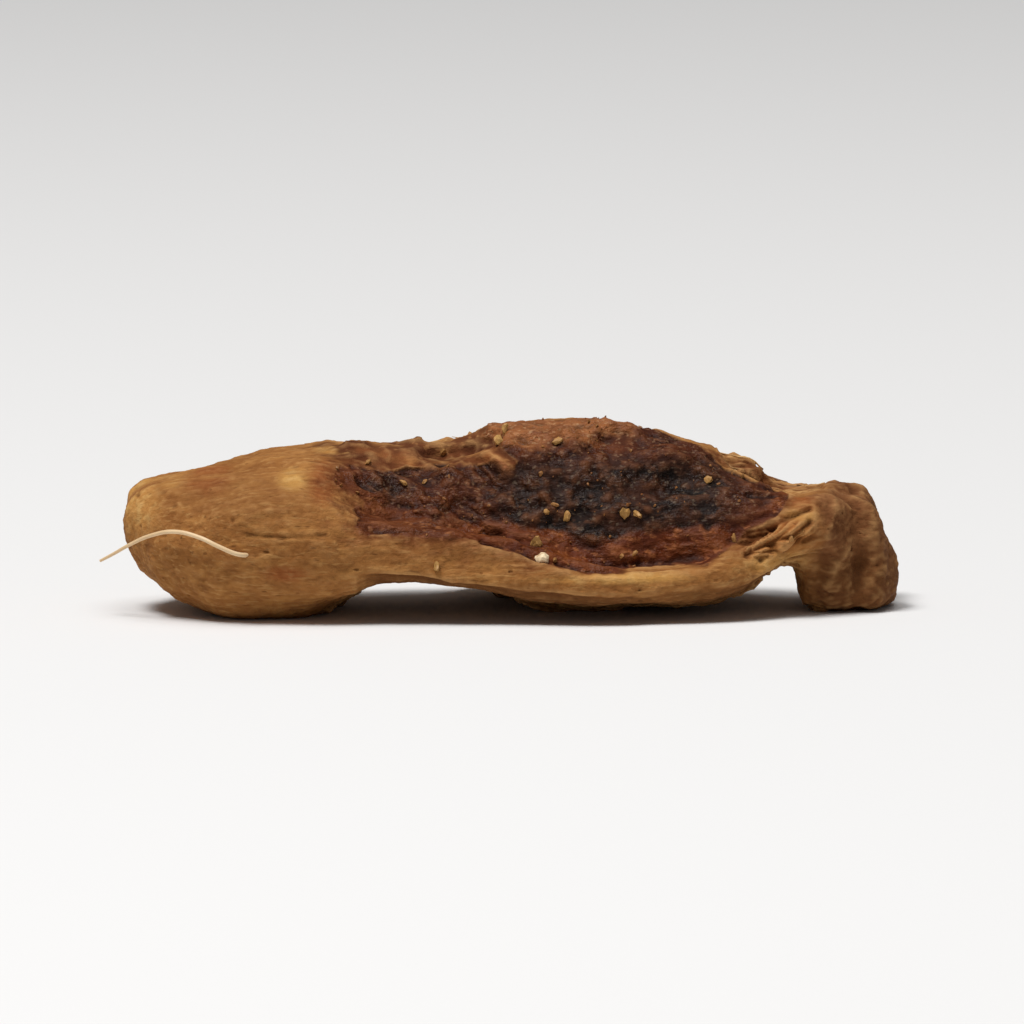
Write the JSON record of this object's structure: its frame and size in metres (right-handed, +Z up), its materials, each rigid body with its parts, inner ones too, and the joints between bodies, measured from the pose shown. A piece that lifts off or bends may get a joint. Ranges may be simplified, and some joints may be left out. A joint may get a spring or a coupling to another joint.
{
  "type": "calamus root chip",
  "caption": "Dried, cut chip of calamus root: a bridge-shaped splinter of tan rhizome flesh with wrinkled dark bark on one side.",
  "frame": {"origin": "on the surface that the chip rests on, in the middle of its length and depth", "axes": "+X along the grain, from the bare rounded lobe to the foot; +Y from the bark side to the split face behind; +Z up"},
  "size_m": [0.025, 0.0092, 0.0062],
  "materials": {
    "dried_rhizome": "dried, matt, fibrous tan flesh with wrinkled dark brown bark on one side"
  },
  "bodies": {
    "root": {"calamus_root_chip": "dried_rhizome"}
  },
  "joints": []
}
